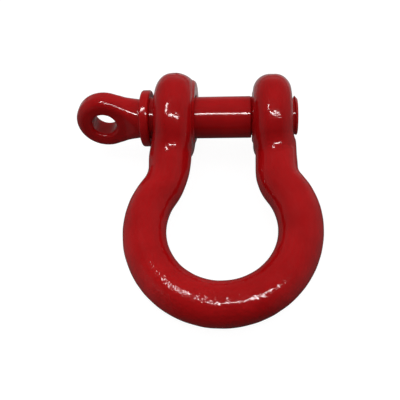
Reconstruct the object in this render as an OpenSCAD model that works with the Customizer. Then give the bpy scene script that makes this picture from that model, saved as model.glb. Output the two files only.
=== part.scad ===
// Bow (anchor) shackle with a screw pin, 3/4 inch class.
// Two forgings: the bow with its two ears, and the screw pin with its eye and collar.
//
// Frame: the origin is on the pin's axis, midway between the ears. +X runs along the pin towards
// its threaded tip, the crown of the bow points towards -Y, and +Z is up. The shackle lies flat:
// both ears and the crown rest on the plane z = -ear_d / 2. Lengths are in millimetres.

/* [Bow] */
// Diameter of the bow's round bar
rod_d = 20.6; // [18:0.1:22]
// Inside width of the bow at its widest
bow_w = 53; // [48:1:60]
// Inside length, from the pin's surface to the inside of the crown
bow_l = 79.6; // [72:0.1:95]
// Radius of the waist between leg and bow, at the middle of the bar
waist_r = 26; // [18:1:32]
// How far each leg stands outwards of the middle of its ear
leg_offset = 1.6; // [0:0.1:2]

/* [Ears] */
// Gap between the two ears
jaw_w = 30.4; // [28:0.2:34]
// Outer diameter of an ear
ear_d = 46.6; // [42:0.1:52]
// Thickness of an ear along the pin
ear_t = 20.2; // [18:0.1:22]
// Rounding radius of the ear's rim
ear_round = 8.8; // [5:0.1:9]

/* [Pin] */
// Diameter of the plain shank
pin_d = 22; // [20:0.5:22]
// Pitch of the thread
thread_pitch = 2.8; // [2.5:0.1:3]
// Depth of the thread's grooves
thread_depth = 1.3; // [0.8:0.1:1.5]
// How far the pin is screwed back from fully home
backed_off = 2.8; // [0:0.1:2.8]
// How far the tip stands past the right ear when the pin is fully home
tip_out = 5.7; // [3:0.1:8]

/* [Collar and eye] */
// Diameter of the collar
collar_d = 30; // [28:0.5:34]
// Thickness of the collar
collar_t = 4.7; // [3:0.1:6]
// Outer diameter of the eye
eye_d = 30; // [27:0.5:34]
// Diameter of the eye's hole
eye_hole_d = 13; // [10:0.5:14]
// Thickness of the eye
eye_t = 12.6; // [10:0.1:14]
// Rounding radius of the eye's outer rim
eye_round = 4.9; // [2:0.1:5]
// Distance from the collar's outer face to the middle of the eye
eye_reach = 20.4; // [17:0.1:26]
// Diameter of the neck between the eye and the collar
neck_d = 21; // [16:0.1:22]
// Angle of the eye's hole away from vertical, turned towards the crown
eye_turn = 81; // [0:1:90]

/* [Fits] */
// Radial clearance between the shank and the plain hole in the left ear
hole_clear = 0.8; // [0.7:0.1:1.2]
// Radial clearance between the thread's crests and the tapped hole
thread_clear = 0.06; // [0.03:0.01:0.1]

/* [Hidden] */
$fn = 96;
paint = [0.60, 0.04, 0.05];

rod_r = rod_d / 2;
pin_r = pin_d / 2;
ear_r = ear_d / 2;
ear_x = jaw_w / 2 + ear_t / 2;          // middle of an ear
ear_out = jaw_w / 2 + ear_t;            // outer face of an ear

// The bow's centre line, in the bow's own plane
leg_x = ear_x + leg_offset;
bow_r = bow_w / 2 + rod_r;              // radius of the crown's centre line
crown_y = -(pin_r + bow_l) + bow_w / 2; // centre of the crown's circle
waist_x = leg_x + waist_r;              // centre of the waist's circle
waist_drop = sqrt(pow(bow_r + waist_r, 2) - pow(waist_x, 2));
waist_y = crown_y + waist_drop;
waist_turn = atan2(waist_drop, waist_x);

leg_top = -9;                           // where the leg's round upper end starts
swell = 0.05;                           // the forging is this much fuller through the waist,
lap = 0.8;                              // and leg and crown reach this far into it

// Lying flat, the crown is lower than the pin by the difference of the two radii
crown_reach = pin_r + bow_l + rod_r;    // middle of the bar at the crown
tilt = asin((ear_r - rod_r) / crown_reach);

// Places along the pin, measured from the middle of the jaw
collar_in = -(ear_out + backed_off);
collar_out = collar_in - collar_t;
eye_x = collar_out - eye_reach;
shank_in = 1.1;                         // fully home, the shank ends inside the tapped hole's chamfer
thread_start = jaw_w / 2 + shank_in - backed_off;
tip_x = ear_out + tip_out - backed_off;
thread_r = pin_r - 0.2;                 // crests lie just under the shank
root_r = thread_r - thread_depth;
tap_r = thread_r + thread_clear;
chamfer = 1.5;                          // at the tip and at both mouths of the tapped hole
seat_r = collar_d / 2 + 1;              // flat round the holes, outside, for the collar to bear on
seat_h = leg_x + rod_r - ear_out + 1;   // the leg bulges past the ear by a little less than this

// ---- shapes shared by the two forgings ----

// A cylinder along X from x0 to x1
module x_cylinder(r, x0, x1) {
    translate([x0, 0, 0]) rotate([0, 90, 0]) cylinder(r = r, h = x1 - x0);
}

// A cone along X, radius r0 at x0 and r1 at x1
module x_cone(r0, r1, x0, x1) {
    translate([x0, 0, 0]) rotate([0, 90, 0]) cylinder(r1 = r0, r2 = r1, h = x1 - x0);
}

// A disc about Z with a rounded rim, centred on the origin
module round_disc(r, t, rim) {
    rotate_extrude() {
        square_part(r - rim, t);
        translate([0, -(t / 2 - rim)]) square([r, t - 2 * rim]);
        intersection() {
            square_part(r, t);
            for (s = [-1, 1]) translate([r - rim, s * (t / 2 - rim)]) circle(rim);
        }
    }
}

module square_part(r, t) {
    translate([0, -t / 2]) square([r, t]);
}

// A bend of the bar about the origin: centre line radius r, from angle a over sweep degrees
module bend(r, a, sweep, bar_r) {
    rotate_extrude(angle = sweep, start = a) translate([r, 0]) circle(bar_r);
}

// ---- bow ----

// The leg's upper end is round and lies in the ear; its lower end reaches into the waist
module leg() {
    length = leg_top - waist_y + lap;
    translate([leg_x, waist_y - lap, 0]) rotate([-90, 0, 0]) rotate_extrude() {
        square([rod_r, length]);
        intersection() {
            translate([0, length]) circle(rod_r);
            translate([0, length - 1]) square([rod_r, rod_r + 1]);
        }
    }
}

module bar() {
    for (m = [0, 1]) mirror([m, 0, 0]) {
        leg();
        translate([waist_x, waist_y, 0]) bend(waist_r, 180, waist_turn, rod_r + swell);
    }
    lap_angle = lap / bow_r * 180 / PI;
    crown_turn = waist_turn + lap_angle;
    translate([0, crown_y, 0]) bend(bow_r, 180 - crown_turn, 180 + 2 * crown_turn, rod_r);
}

module ears() {
    for (s = [-1, 1]) translate([s * ear_x, 0, 0]) rotate([0, 90, 0]) round_disc(ear_r, ear_t, ear_round);
}

module bow() {
    color(paint) rotate([tilt, 0, 0]) difference() {
        union() {
            bar();
            ears();
        }
        // flat seats on the outer faces, where the legs would stand in the collar's way
        for (m = [0, 1]) mirror([m, 0, 0]) x_cylinder(seat_r, ear_out, ear_out + seat_h);
        // plain hole in the left ear
        x_cylinder(pin_r + hole_clear, -ear_out - 1, -jaw_w / 2 + 1);
        // tapped hole in the right ear
        x_cylinder(tap_r, jaw_w / 2 - 1, ear_out + 1);
        // lead-in chamfers of the tapped hole, drawn 1 mm past its faces
        x_cone(tap_r + chamfer + 1, tap_r, jaw_w / 2 - 1, jaw_w / 2 + chamfer);
        x_cone(tap_r, tap_r + chamfer + 1, ear_out - chamfer, ear_out + 1);
    }
}

// ---- screw pin ----

// Ring-shaped grooves stand for the thread: one to each pitch
module thread() {
    turns = floor((tip_x - chamfer - thread_start) / thread_pitch);
    difference() {
        union() {
            x_cylinder(thread_r, thread_start, tip_x - chamfer);
            x_cone(thread_r, thread_r - chamfer, tip_x - chamfer, tip_x);
        }
        for (i = [0 : turns - 1]) translate([thread_start + (i + 0.5) * thread_pitch, 0, 0])
            rotate([0, 90, 0]) rotate_extrude() polygon([
                [thread_r + 1, -thread_pitch / 2 * 0.9], [root_r, 0], [thread_r + 1, thread_pitch / 2 * 0.9]
            ]);
    }
}

module collar() {
    translate([(collar_in + collar_out) / 2, 0, 0]) rotate([0, 90, 0]) round_disc(collar_d / 2, collar_t, 1);
}

// The eye turns with the pin: its hole leans from vertical towards the crown
module eye() {
    translate([eye_x, 0, 0]) rotate([eye_turn, 0, 0]) difference() {
        union() {
            round_disc(eye_d / 2, eye_t, eye_round);
            neck();
        }
        cylinder(d = eye_hole_d, h = eye_t + 20, center = true);
        for (s = [0, 1]) mirror([0, 0, s]) translate([0, 0, eye_t / 2 - 1])
            cylinder(r1 = eye_hole_d / 2, r2 = eye_hole_d / 2 + 8, h = 8);
    }
}

module neck() {
    x_cone(eye_t / 2, neck_d / 2, eye_hole_d / 2 + 1, eye_reach - 3);
    x_cylinder(neck_d / 2, eye_reach - 3, eye_reach + 1);
}

module screw_pin() {
    color(paint) union() {
        x_cylinder(pin_r, collar_in - 1, thread_start);
        thread();
        collar();
        eye();
    }
}

bow();
screw_pin();
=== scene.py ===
"""Bow shackle with a screw pin: the finished look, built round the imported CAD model.

The two CAD nodes are replaced by two forgings with blended corners, a real helical thread and
glossy enamel. Shapes are worked out in millimetres in the CAD model's frame (origin on the pin's
axis midway between the ears, +X towards the pin's tip, crown towards -Y, +Z up), and become
metres when a mesh is made.
"""
import math

import bmesh
import bpy
import numpy as np
from mathutils import Matrix, Vector


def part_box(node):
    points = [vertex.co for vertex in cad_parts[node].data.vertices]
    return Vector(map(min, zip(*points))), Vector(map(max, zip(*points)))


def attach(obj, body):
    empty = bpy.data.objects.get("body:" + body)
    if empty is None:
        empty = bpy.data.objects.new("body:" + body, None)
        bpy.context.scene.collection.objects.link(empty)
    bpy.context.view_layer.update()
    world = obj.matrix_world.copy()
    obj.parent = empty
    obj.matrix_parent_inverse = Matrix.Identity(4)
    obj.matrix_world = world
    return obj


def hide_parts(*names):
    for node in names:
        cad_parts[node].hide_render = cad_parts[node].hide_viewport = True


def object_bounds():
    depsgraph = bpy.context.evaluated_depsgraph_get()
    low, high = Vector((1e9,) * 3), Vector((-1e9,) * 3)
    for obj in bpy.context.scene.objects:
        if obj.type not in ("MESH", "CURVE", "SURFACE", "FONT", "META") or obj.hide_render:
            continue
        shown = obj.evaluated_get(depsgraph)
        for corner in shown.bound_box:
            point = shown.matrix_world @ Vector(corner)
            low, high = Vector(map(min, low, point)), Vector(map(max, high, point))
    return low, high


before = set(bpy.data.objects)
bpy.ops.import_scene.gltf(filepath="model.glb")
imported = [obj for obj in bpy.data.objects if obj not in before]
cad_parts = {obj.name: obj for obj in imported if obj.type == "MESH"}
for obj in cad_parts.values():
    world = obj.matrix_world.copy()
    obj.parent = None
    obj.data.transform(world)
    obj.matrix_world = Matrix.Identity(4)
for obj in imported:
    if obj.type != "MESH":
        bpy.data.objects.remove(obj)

MM = 0.001
cad_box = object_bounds()
bow_low, bow_high = (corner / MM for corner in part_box("bow"))
pin_low, pin_high = (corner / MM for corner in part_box("screw_pin"))

# ---- sizes in millimetres: those of the CAD source, and small corrections to suit the photo ----

# Bow: round bar, ears, and the arcs of its middle line
ROD_R = 10.3
BOW_L = 79.6                        # inside length, from the pin's surface to the crown
EAR_R = -bow_low.z
EAR_IN = 15.2                       # half the gap between the ears
EAR_OUT = 35.4
EAR_MID = (EAR_IN + EAR_OUT) / 2
# The two forged ears, left (-1) and right (1), are not quite alike. Each has its inner and outer
# limit along the pin, the rim's roundings (along the pin, and across it) to the outside and to the
# jaw, its radius, and how far it is off the hole's middle. face is the flat on the jaw's side: its
# place along the pin, its radius and its shift. lean is how much the ear leans outwards towards the
# crown, and drawn how much it is drawn out towards the leg.
EARS = {
    -1: dict(inner=15.6, outer=35.8, out=(8.8, 10.0), jaw=(10.0, 7.1), radius=23.3, shift=0.5,
             face=dict(place=14.6, radius=16.6, shift=4.2), lean=0.065, drawn=1.16),
    1: dict(inner=15.25, outer=35.1, out=(8.4, 8.5), jaw=(8.8, 9.0), radius=23.0, shift=-1.0,
            face=dict(place=14.5, radius=13.6, shift=0), lean=0, drawn=1.07),
}
FACE_DEPTH = 6                      # the jaw's flats reach this far into the ears
FACE_ROUND = 2.2
PIN_R = 11.0
BOW_R = bow_high.x - ROD_R          # crown's middle line
CROWN_REACH = PIN_R + BOW_L + ROD_R  # from the pin's axis to the bar's middle at the crown
CROWN_Y = BOW_R - CROWN_REACH
TILT = math.asin((EAR_R - ROD_R) / CROWN_REACH)
# The bow's two sides differ a little too: the waist's radius, how far the leg is off its ear, and
# where the bar is fuller or leaner (place along Y, spread and amount)
SIDES = {
    -1: dict(waist=26.0, offset=1.8, swells=((-25, 6, 0.5), (-40, 6, -0.3))),
    1: dict(waist=19.6, offset=1.35, swells=((-49, 18, 0.6),)),
}
SEAT_R = 16.0                       # the flat round each hole on the outside
HOLE_R = PIN_R + 0.8
WAVE_HEIGHT = 0.06                  # of the forged surface's waves

# Pin
COLLAR_GAP = 2.95                   # backed off by one turn of the thread, and 0.15 more
COLLAR_T = 4.8
COLLAR_R = 15.0
COLLAR_IN = -(EAR_OUT + COLLAR_GAP)
COLLAR_OUT = COLLAR_IN - COLLAR_T
EYE_R = 15.25
EYE_PAST = 0.3                      # the eye's rim stands this far past the CAD's
EYE_X = pin_low.x + EYE_R - EYE_PAST
EYE_T = 12.6
EYE_ROUND = 4.9
EYE_HOLE_R = 6.5
EYE_TURN = math.radians(81)
NECK_R = 10.1
TIP_X = pin_high.x
THREAD_X = 14.3                     # where the plain shank ends
PITCH = 2.8
CREST_R = 10.8
ROOT_R = 9.5
TAP_CLEAR = 0.12                    # between the pin's thread and the bow's
CHAMFER = 1.5                       # at the tip and at the mouths of the tapped hole

# ---- signed distance fields: negative inside, in millimetres ----


def length(*parts):
    return np.sqrt(sum(p * p for p in parts))


def blend_in(a, b, reach):
    """The union of two fields, with a fillet about as wide as reach."""
    h = np.clip(0.5 + 0.5 * (b - a) / reach, 0, 1)
    return b + (a - b) * h - reach * h * (1 - h)


def cut_out(a, b, reach):
    """Field a where b is positive, with the new edge rounded over."""
    return -blend_in(-a, b, reach)


def ease(t):
    """From 0 to 1 as t goes from 0 to 1, level at both ends."""
    t = np.clip(t, 0, 1)
    return t * t * (3 - 2 * t)


def rounded_disc(radial, axial, radius, half, rim):
    """A disc of the given radius and half its thickness, with its edges rounded by rim."""
    out_r, out_a = radial - (radius - rim), np.abs(axial) - (half - rim)
    outside = length(np.maximum(out_r, 0), np.maximum(out_a, 0))
    return np.minimum(np.maximum(out_r, out_a), 0) + outside - rim


def ear_field(ax, y, z, ear):
    """A disc whose rim is rounded by a quarter ellipse to each side, with a flat in the jaw."""
    y = np.where(y < 0, y / ear["drawn"], y)
    half = (ear["outer"] - ear["inner"]) / 2
    # the lean starts 4 mm from the pin's axis, and grows towards the crown and the floor
    ax = ax + ear["lean"] * np.minimum(0.79 * y + 0.61 * z + 4, 0)
    axial = ax - ear["inner"] - half
    radial = length(y - ear["shift"], z)
    along = np.where(axial > 0, ear["out"][0], ear["jaw"][0])
    across = np.where(axial > 0, ear["out"][1], ear["jaw"][1])
    u = np.maximum(np.abs(axial) - (half - along), 0) / along
    v = np.maximum(radial - (ear["radius"] - across), 0) / across
    reach = length(u, v)
    slope = np.maximum(length(u / along, v / across), 1e-6)
    dome = np.where(reach > 1e-6, reach * (reach - 1) / slope, -across)
    face, depth = ear["face"], FACE_DEPTH / 2
    flat = rounded_disc(length(y - face["shift"], z), ax - face["place"] - depth,
                        face["radius"], depth, FACE_ROUND)
    return blend_in(dome, flat, 0.5)


def half_bow_bar(ax, y, z, bar):
    """The round bar of one side: leg, waist and crown. ax is the distance from the middle plane."""
    waist_r = bar["waist"]
    leg_x = EAR_MID + bar["offset"]
    waist_x = leg_x + waist_r
    drop = math.sqrt((BOW_R + waist_r) ** 2 - waist_x ** 2)
    waist_y = CROWN_Y + drop
    turn = math.atan2(drop, waist_x)
    leg = length(ax - leg_x, y - np.clip(y, waist_y, 0), z)
    angle = np.arctan2(y - waist_y, ax - waist_x) % (2 * math.pi) - math.pi
    angle = np.clip(angle, 0, turn)
    waist = length(ax - waist_x + waist_r * np.cos(angle), y - waist_y + waist_r * np.sin(angle), z)
    angle = np.clip(np.arctan2(y - CROWN_Y, ax), -math.pi / 2, turn)
    crown = length(ax - BOW_R * np.cos(angle), y - CROWN_Y - BOW_R * np.sin(angle), z)
    fuller = sum(amount * np.exp(-((y - place) / width) ** 2)
                 for place, width, amount in bar["swells"])
    return np.minimum(np.minimum(leg, waist), crown) - ROD_R - fuller


def half_bow(side, ax, y, z):
    # the fillet between leg and ear is broad above and below, and slight at their flush sides
    slight, broad = 1.2, 3.5
    reach = slight + broad * ease((-10 - y) / 12) * ease((np.abs(z) - 2) / 9)
    return blend_in(half_bow_bar(ax, y, z, SIDES[side]), ear_field(ax, y, z, EARS[side]), reach)


def hammer_waves(x, y, z):
    """The slight waves of a forged surface, from -1 to 1 and about 6 mm from crest to hollow."""
    across = np.sin(x / 1.9 + 1.3 * np.sin(y / 4.1))
    along = np.sin(y / 2.3 + 1.1 * np.sin(z / 3.7))
    up = np.sin(z / 2.1 + 1.2 * np.sin(x / 4.3))
    return across * along * up


def bow_field(x, y, z):
    ax, radial = np.abs(x), length(y, z)
    body = np.where(x < 0, half_bow(-1, ax, y, z), half_bow(1, ax, y, z))
    body = body + WAVE_HEIGHT * hammer_waves(x, y, z)
    seat = np.maximum(radial - SEAT_R, EAR_OUT - ax)
    body = cut_out(body, seat, 0.8)
    plain_hole = np.maximum(radial - HOLE_R, x)
    # on the jaw's side the chamfer is deeper, so that the shank's end has room when fully home
    deeper, steepness, core_r = 1.4, 1.6, ROOT_R + 0.3
    inner, outer = CHAMFER + deeper - (ax - EAR_IN), CHAMFER - (EAR_OUT - ax)
    mouth = np.minimum(np.maximum(np.maximum(inner, outer), 0), CHAMFER)
    tapped_hole = np.maximum(radial - core_r - mouth * steepness, -x)
    body = cut_out(body, plain_hole, 1.2)
    return cut_out(body, tapped_hole, 0.5)


def pin_field(x, y, z):
    """The forged end of the pin: eye, neck and collar, with a stub of the shank."""
    radial = length(y, z)
    along = z * math.cos(EYE_TURN) - y * math.sin(EYE_TURN)
    across = y * math.cos(EYE_TURN) + z * math.sin(EYE_TURN)
    from_eye = length(x - EYE_X, across)
    eye = rounded_disc(from_eye, along, EYE_R, EYE_T / 2, EYE_ROUND)
    # the neck's section changes from flat-faced, as the eye, to round, as the collar needs
    way = np.clip((x - EYE_X) / (COLLAR_OUT - EYE_X), 0, 1)
    turned = ease((way - 0.35) / 0.65)
    start_r = EYE_R - 0.4
    wide = NECK_R + (start_r - NECK_R) * (1 - way) ** 1.2
    thick = EYE_T / 2 + (NECK_R - EYE_T / 2) * turned
    corner = EYE_ROUND + (NECK_R - EYE_ROUND) * turned
    side, front = np.abs(across) - (wide - corner), np.abs(along) - (thick - corner)
    outside = length(np.maximum(side, 0), np.maximum(front, 0))
    neck = outside + np.minimum(np.maximum(side, front), 0) - corner
    # it runs from the eye's middle to 1 mm inside the collar
    neck = np.maximum(neck, np.maximum(EYE_X - x, x - COLLAR_OUT - 1))
    # where their flat faces lie flush the two meet without a fillet, which would thicken them
    body = blend_in(eye, neck, 0.05 + 1.8 * np.clip((x - EYE_X - 4) / 5, 0, 1))
    collar_x, collar_half = (COLLAR_IN + COLLAR_OUT) / 2, (COLLAR_IN - COLLAR_OUT) / 2
    collar = rounded_disc(radial, x - collar_x, COLLAR_R, collar_half, 1.1)
    body = cut_out(body, from_eye - EYE_HOLE_R, 2.0)
    return blend_in(body, collar, 1.0)


# ---- meshes ----


def surface_net(field, low, high, step):
    """Points and quads on the zero level of a field: one point in each cell the surface crosses."""
    axes = [np.arange(a, b + step, step) for a, b in zip(low, high)]
    value = field(*np.meshgrid(*axes, indexing="ij", sparse=True))
    shape = np.array(value.shape)
    crossings, cells, flipped = [], [], []
    for d in range(3):
        a, b = np.take(value, range(shape[d] - 1), d), np.take(value, range(1, shape[d]), d)
        edge = np.argwhere((a < 0) != (b < 0))
        va, vb = a[tuple(edge.T)], b[tuple(edge.T)]
        point = edge.astype(float)
        point[:, d] += va / (va - vb)
        ring = []
        for step_1, step_2 in ((1, 1), (0, 1), (0, 0), (1, 0)):
            cell = edge.copy()
            cell[:, (d + 1) % 3] -= step_1
            cell[:, (d + 2) % 3] -= step_2
            ring.append(np.ravel_multi_index(tuple(cell.T), tuple(shape)))
        crossings.append(point)
        cells.append(np.stack(ring, 1))
        flipped.append(va > 0)
    cells = np.concatenate(cells)
    flipped = np.concatenate(flipped)
    cells[flipped] = cells[flipped][:, ::-1]
    names, quads = np.unique(cells, return_inverse=True)
    quads = quads.reshape(-1, 4)
    points = spread(np.concatenate(crossings), quads, len(names))
    return points * step + np.array([a[0] for a in axes]), quads


def spread(values, quads, count):
    """For each point, the mean of the values of the quads round it."""
    weight = np.bincount(quads.ravel(), minlength=count)
    sums = [np.bincount(quads.ravel(), np.repeat(values[:, c], 4), count) for c in range(3)]
    return np.stack(sums, 1) / weight[:, None]


def gradient(field, points, reach=0.02):
    """The field's slope at each point, from differences over reach to both sides."""
    sides = []
    for axis in np.eye(3):
        ahead, behind = points + axis * reach, points - axis * reach
        sides.append((field(*ahead.T) - field(*behind.T)) / (2 * reach))
    return np.stack(sides, 1)


def settle(field, points, quads, rounds=4):
    """Evens the quads out, and puts each point exactly on the zero level."""
    for _ in range(rounds):
        points = 0.5 * points + 0.5 * spread(points[quads].mean(1), quads, len(points))
        for _ in range(2):
            slope = gradient(field, points)
            points = points - slope * (field(*points.T) / (slope ** 2).sum(1))[:, None]
    return points


def new_piece(name, points, faces):
    """An object made of points in millimetres, with its faces turned outwards."""
    mesh = bpy.data.meshes.new(name)
    mesh.from_pydata(np.asarray(points) * MM, [], [list(map(int, f)) for f in faces])
    solid = bmesh.new()
    solid.from_mesh(mesh)
    bmesh.ops.recalc_face_normals(solid, faces=solid.faces)
    solid.to_mesh(mesh)
    solid.free()
    piece = bpy.data.objects.new(name, mesh)
    bpy.context.scene.collection.objects.link(piece)
    return piece


def carve(name, field, low, high, step):
    """The solid in which a field is negative, meshed at step inside the box from low to high."""
    points, quads = surface_net(field, low, high, step)
    return new_piece(name, settle(field, points, quads), quads)


def lathe(name, profile, steps=160):
    """A solid of revolution about X. The profile's (x, radius) points run from end to end."""
    angles = np.arange(steps) * 2 * math.pi / steps
    points = [(x, r * math.cos(a), r * math.sin(a)) for x, r in profile for a in angles]
    points += [(profile[0][0], 0, 0), (profile[-1][0], 0, 0)]
    last = (len(profile) - 1) * steps
    faces = []
    for i in range(steps):
        j = (i + 1) % steps
        faces += [(row + i, row + j, row + steps + j, row + steps + i) for row in range(0, last, steps)]
        faces += [(i, j, last + steps), (last + i, last + j, last + steps + 1)]
    return new_piece(name, points, faces)


def helix(name, start, end, crest, root, widen=0.0, steps=96):
    """A screw thread about X, from before start to past end. At angle 0 a crest passes x = THREAD_X.

    Each turn repeats a short profile of (x, radius) points, and the last point of one turn joins
    the first of the next, so the surface is one strip wound round the axis.
    """
    crest_half = 0.2 + widen
    flank = math.radians(30)
    foot = crest_half + (CREST_R - ROOT_R) * math.tan(flank)
    halfway, half_r = (crest_half + foot) / 2, (crest + root) / 2
    profile = [(-crest_half, crest), (crest_half, crest), (halfway, half_r), (foot, root),
               (PITCH - foot, root), (PITCH - halfway, half_r)]
    before = math.ceil((THREAD_X - start) / PITCH) + 1
    turns = before + math.ceil((end - THREAD_X) / PITCH) + 1
    total = turns * steps + 1
    wound = total - steps
    rest = len(profile) - 1

    def place(k, p):
        x, r = profile[p]
        angle = 2 * math.pi * k / steps
        return (THREAD_X + PITCH * (k / steps - before) + x, r * math.cos(angle), r * math.sin(angle))

    def number(k, p):
        return k if p == 0 else total + k * rest + p - 1

    points = [place(k, 0) for k in range(total)]
    points += [place(k, p) for k in range(wound) for p in range(1, rest + 1)]
    faces = []
    for k in range(wound - 1):
        for p in range(rest):
            faces.append((number(k, p), number(k + 1, p), number(k + 1, p + 1), number(k, p + 1)))
        faces.append((number(k, rest), number(k + 1, rest), k + 1 + steps, k + steps))
    for k in (0, wound - 1):
        rim = list(range(k, k + steps + 1)) + [number(k, p) for p in range(rest, 0, -1)]
        centre = len(points)
        points.append((points[k][0] + PITCH / 2, 0, 0))
        faces += [(a, b, centre) for a, b in zip(rim, rim[1:] + rim[:1])]
    return new_piece(name, points, faces)


def combine(piece, tool, operation):
    """Adds the tool to the piece, cuts it away or keeps what is common, and drops the tool."""
    modifier = piece.modifiers.new("combine", "BOOLEAN")
    modifier.operation = operation
    modifier.solver = "MANIFOLD"
    modifier.object = tool
    depsgraph = bpy.context.evaluated_depsgraph_get()
    mesh = bpy.data.meshes.new_from_object(piece.evaluated_get(depsgraph))
    mesh.materials.clear()
    piece.modifiers.clear()
    piece.data = mesh
    bpy.data.objects.remove(tool)


def shade(piece, limit=32):
    """Smooth shading, but crisp where two faces meet at more than limit degrees."""
    mesh = bmesh.new()
    mesh.from_mesh(piece.data)
    for face in mesh.faces:
        face.smooth = True
    for edge in mesh.edges:
        edge.smooth = edge.calc_face_angle(0) < math.radians(limit)
    mesh.to_mesh(piece.data)
    mesh.free()


def make_bow():
    margin, past = 2, 6
    reach = ROD_R + margin
    bow = carve("bow_forging", bow_field,
                (-BOW_R - reach, -CROWN_REACH - reach, -EAR_R - margin),
                (BOW_R + reach, EAR_R + margin, EAR_R + margin), step=0.7)
    tap = helix("tap", EAR_IN - past, EAR_OUT + past, CREST_R + TAP_CLEAR, ROOT_R + TAP_CLEAR,
                widen=TAP_CLEAR / 2)
    combine(bow, tap, "DIFFERENCE")
    bow.data.transform(Matrix.Rotation(TILT, 4, "X"))
    shade(bow)
    return bow


def make_pin():
    margin = 2
    pin = carve("pin_forging", pin_field,
                (EYE_X - EYE_R - margin, -EYE_R - margin, -EYE_R - margin),
                (COLLAR_IN + margin, EYE_R + margin, EYE_R + margin), step=0.55)
    # the shank: from inside the collar over a small fillet to a bevelled end, with a cone inside
    # the thread to close it
    fillet_r, bevel, core_r = 0.6, 0.4, 5
    fillet = [(COLLAR_IN + fillet_r - fillet_r * math.cos(a), PIN_R + fillet_r - fillet_r * math.sin(a))
              for a in np.radians((30, 45, 60, 75, 90))]
    end = [(THREAD_X - bevel, PIN_R), (THREAD_X, PIN_R - bevel), (THREAD_X + 0.1, core_r)]
    shank = lathe("shank", [(COLLAR_IN - 1, fillet[0][1])] + fillet + end)
    # the thread is wound too long, and a turned blank with a chamfered tip gives its ends
    thread = helix("thread", THREAD_X - 6, TIP_X + 3, CREST_R, ROOT_R)
    blank = lathe("blank", [(THREAD_X - 1, core_r), (THREAD_X - 1, CREST_R + 0.5),
                            (TIP_X - CHAMFER, CREST_R + 0.1), (TIP_X, CREST_R - CHAMFER)])
    combine(thread, blank, "INTERSECT")
    combine(pin, shank, "UNION")
    combine(pin, thread, "UNION")
    shade(pin)
    return pin


# ---- materials ----


def enamel(name, peel, lumps):
    """Glossy red enamel. peel and lumps are the heights of its fine and broad waves."""
    material = bpy.data.materials.new(name)
    material.use_nodes = True
    nodes, links = material.node_tree.nodes, material.node_tree.links
    shader = nodes["Principled BSDF"]
    place = nodes.new("ShaderNodeTexCoord").outputs["Object"]

    def waves(size, detail):
        node = nodes.new("ShaderNodeTexNoise")
        node.inputs["Scale"].default_value = 1 / (size * MM)
        node.inputs["Detail"].default_value = detail
        links.new(place, node.inputs["Vector"])
        return node.outputs["Fac"]

    tone = nodes.new("ShaderNodeValToRGB")
    tone.color_ramp.elements[0].position = 0.35
    tone.color_ramp.elements[0].color = (0.44, 0.0040, 0.0055, 1)
    tone.color_ramp.elements[1].position = 0.65
    tone.color_ramp.elements[1].color = (0.52, 0.0060, 0.0080, 1)
    links.new(waves(14, 3), tone.inputs["Fac"])
    links.new(tone.outputs["Color"], shader.inputs["Base Color"])

    gloss = nodes.new("ShaderNodeMapRange")
    gloss.inputs["To Min"].default_value = 0.06
    gloss.inputs["To Max"].default_value = 0.15
    links.new(waves(5, 4), gloss.inputs["Value"])
    links.new(gloss.outputs["Result"], shader.inputs["Roughness"])
    shader.inputs["IOR"].default_value = 1.5

    # the peel is roughest on the left of the crown, and finest on the ears and the right leg
    towards = nodes.new("ShaderNodeVectorMath")
    towards.operation = "DOT_PRODUCT"
    towards.inputs[1].default_value = (-0.6, -0.8, 0)
    links.new(place, towards.inputs[0])
    crown = nodes.new("ShaderNodeMapRange")
    crown.inputs["From Min"].default_value = 35 * MM
    crown.inputs["From Max"].default_value = 68 * MM
    crown.inputs["To Min"].default_value = 0.45
    links.new(towards.outputs["Value"], crown.inputs["Value"])

    normal = None
    for size, detail, height, where in ((7, 2, lumps, None), (1.9, 1, peel, crown)):
        bump = nodes.new("ShaderNodeBump")
        bump.inputs["Distance"].default_value = height * MM
        links.new(waves(size, detail), bump.inputs["Height"])
        if where:
            links.new(where.outputs["Result"], bump.inputs["Strength"])
        if normal:
            links.new(normal, bump.inputs["Normal"])
        normal = bump.outputs["Normal"]
    links.new(normal, shader.inputs["Normal"])
    return material


# ---- the object ----

bow = make_bow()
pin = make_pin()
bow.data.materials.append(enamel("forged_enamel", 0.20, 0.18))
pin.data.materials.append(enamel("pin_enamel", 0.05, 0.05))
pieces = ((bow, "bow", "bow", "bow_paint"), (pin, "screw_pin", "pin", "pin_paint"))
for piece, node, body, slot in pieces:
    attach(piece, body)
    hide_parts(node)

# ---- floor, light and camera ----


def make_sheet(name, low, high, height, glow):
    """A flat grey sheet, height above the floor's level, that gives off light of strength glow."""
    mesh = bpy.data.meshes.new(name)
    corners = [(low[0], low[1], 0), (high[0], low[1], 0), (high[0], high[1], 0), (low[0], high[1], 0)]
    mesh.from_pydata(corners, [], [(0, 1, 2, 3)])
    sheet = bpy.data.objects.new(name, mesh)
    sheet.location.z = cad_box[0].z + height
    bpy.context.scene.collection.objects.link(sheet)
    paper = bpy.data.materials.new(name + "_paper")
    paper.use_nodes = True
    shader = paper.node_tree.nodes["Principled BSDF"]
    shader.inputs["Base Color"].default_value = (0.15, 0.15, 0.15, 1)
    shader.inputs["Roughness"].default_value = 1
    shader.inputs["Specular IOR Level"].default_value = 0
    shader.inputs["Emission Color"].default_value = (1, 1, 1, 1)
    shader.inputs["Emission Strength"].default_value = glow
    mesh.materials.append(paper)
    sheet.visible_diffuse = False
    return sheet


def direction(azimuth, elevation):
    """Unit vector towards a place round the object. Azimuth 0 is the crown's side, 90 the tip's."""
    a, e = math.radians(azimuth), math.radians(elevation)
    return Vector((math.sin(a) * math.cos(e), -math.cos(a) * math.cos(e), math.sin(e)))


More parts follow.
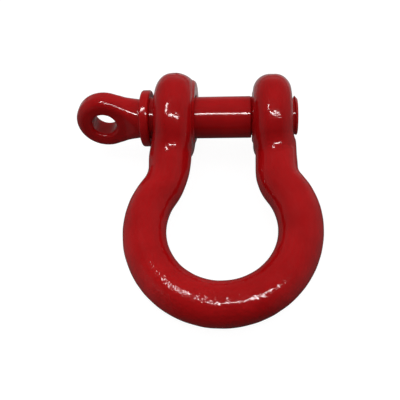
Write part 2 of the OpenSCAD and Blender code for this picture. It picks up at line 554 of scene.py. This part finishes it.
def make_lamp(name, middle, size, turn, brightness, role, height=0.9):
    """A softbox facing down, height above the pin. brightness is its radiance.

    The strips give the highlights and the broad boxes the soft shading, so each can be set alone.
    """
    data = bpy.data.lights.new(name, "AREA")
    data.shape = "RECTANGLE"
    data.size, data.size_y = size
    data.energy = brightness * math.pi * size[0] * size[1]
    lamp = bpy.data.objects.new(name, data)
    lamp.location = (middle[0], middle[1], height)
    lamp.rotation_euler.z = math.radians(turn)
    lamp.visible_diffuse = role == "DIFFUSE"
    lamp.visible_glossy = role == "GLOSS"
    bpy.context.scene.collection.objects.link(lamp)


def make_world():
    """A dim studio: nearly dark in front, paler behind near the horizon, and pale to the sides."""
    world = bpy.data.worlds.new("studio")
    world.use_nodes = True
    nodes, links = world.node_tree.nodes, world.node_tree.links
    split = nodes.new("ShaderNodeSeparateXYZ")
    links.new(nodes.new("ShaderNodeTexCoord").outputs["Generated"], split.inputs["Vector"])
    height = nodes.new("ShaderNodeMapRange")
    height.inputs["From Min"].default_value = -1
    links.new(split.outputs["Z"], height.inputs["Value"])

    def bands(levels):
        """Slightly warm greys, as (place, level) from straight down, 0, to straight up, 1."""
        ramp = nodes.new("ShaderNodeValToRGB")
        stops = ramp.color_ramp.elements
        for place, level in levels[1:-1]:
            stops.new(place).color = (level, 0.85 * level, 0.85 * level, 1)
        for stop, (place, level) in ((stops[0], levels[0]), (stops[-1], levels[-1])):
            stop.position = place
            stop.color = (level, 0.85 * level, 0.85 * level, 1)
        links.new(height.outputs["Result"], ramp.inputs["Fac"])
        return ramp.outputs["Color"]

    behind = nodes.new("ShaderNodeMapRange")
    behind.inputs["From Min"].default_value = -0.2
    behind.inputs["From Max"].default_value = 0.6
    links.new(split.outputs["Y"], behind.inputs["Value"])
    mix = nodes.new("ShaderNodeMixRGB")
    links.new(behind.outputs["Result"], mix.inputs["Fac"])
    front_levels = ((0, 0.07), (0.45, 0.05), (0.55, 0.05), (0.75, 0.06), (1, 0.08))
    back_levels = ((0, 0.07), (0.46, 0.14), (0.53, 0.38), (0.62, 0.20), (1, 0.08))
    links.new(bands(front_levels), mix.inputs["Color1"])
    links.new(bands(back_levels), mix.inputs["Color2"])
    # the walls to the left and right
    wall = nodes.new("ShaderNodeMath")
    wall.operation = "ABSOLUTE"
    links.new(split.outputs["X"], wall.inputs[0])
    beside = nodes.new("ShaderNodeMapRange")
    beside.inputs["From Min"].default_value = 0.55
    beside.inputs["From Max"].default_value = 1.0
    links.new(wall.outputs["Value"], beside.inputs["Value"])
    walls = nodes.new("ShaderNodeMixRGB")
    walls.inputs["Color2"].default_value = (0.22, 0.20, 0.20, 1)
    links.new(beside.outputs["Result"], walls.inputs["Fac"])
    links.new(mix.outputs["Color"], walls.inputs["Color1"])
    links.new(walls.outputs["Color"], nodes["Background"].inputs["Color"])
    bpy.context.scene.world = world


def make_camera(target):
    """The photo's viewpoint and lens, with the picture shifted as if it had been cropped."""
    distance, roll = 0.2781, -5.07
    data = bpy.data.cameras.new("camera")
    data.sensor_width = 36
    data.lens = 50.08
    data.shift_x, data.shift_y = -0.03, -0.07
    camera = bpy.data.objects.new("camera", data)
    way = direction(5.83, 51.93)
    camera.location = target + way * distance
    level = way.to_track_quat("Z", "Y").to_matrix()
    camera.rotation_euler = (level @ Matrix.Rotation(math.radians(roll), 3, "Z")).to_euler()
    bpy.context.scene.collection.objects.link(camera)
    bpy.context.scene.camera = camera


floor = make_sheet("floor", (-4, -4), (4, 4), 0, 0.95)
floor.visible_glossy = False
# the cards are seen only as reflections: they brighten the sides of the ears
for name, left, right in (("card_left", -0.20, -0.038), ("card_right", -0.028, 0.20)):
    card = make_sheet(name, (left, 0.025), (right, 0.25), 0.0002, 0.27)
    card.visible_camera = card.visible_shadow = False
# long strips to the front and left for the highlights, and boxes for the soft shading
make_lamp("key", (0.0, -0.391), (0.23, 0.08), -10, 30, "GLOSS")
make_lamp("key_middle", (0.22, -0.43), (0.22, 0.08), -10, 24, "GLOSS")
make_lamp("key_end", (0.44, -0.468), (0.24, 0.08), -10, 28, "GLOSS")
make_lamp("side", (-0.245, -0.145), (0.28, 0.07), 61, 26, "GLOSS")
make_lamp("fill", (0.34, 0.35), (2.2, 0.9), 0, 1.52, "DIFFUSE")
make_lamp("front", (0.28, -0.40), (1.2, 0.4), 0, 1.65, "DIFFUSE")
make_lamp("eye_fill", (-0.16, -0.16), (0.10, 0.10), 0, 3, "DIFFUSE", 0.06)
make_world()
make_camera(Vector((-5.55, -33.29, -4.32)) * MM)
bpy.context.scene.view_settings.view_transform = "Standard"
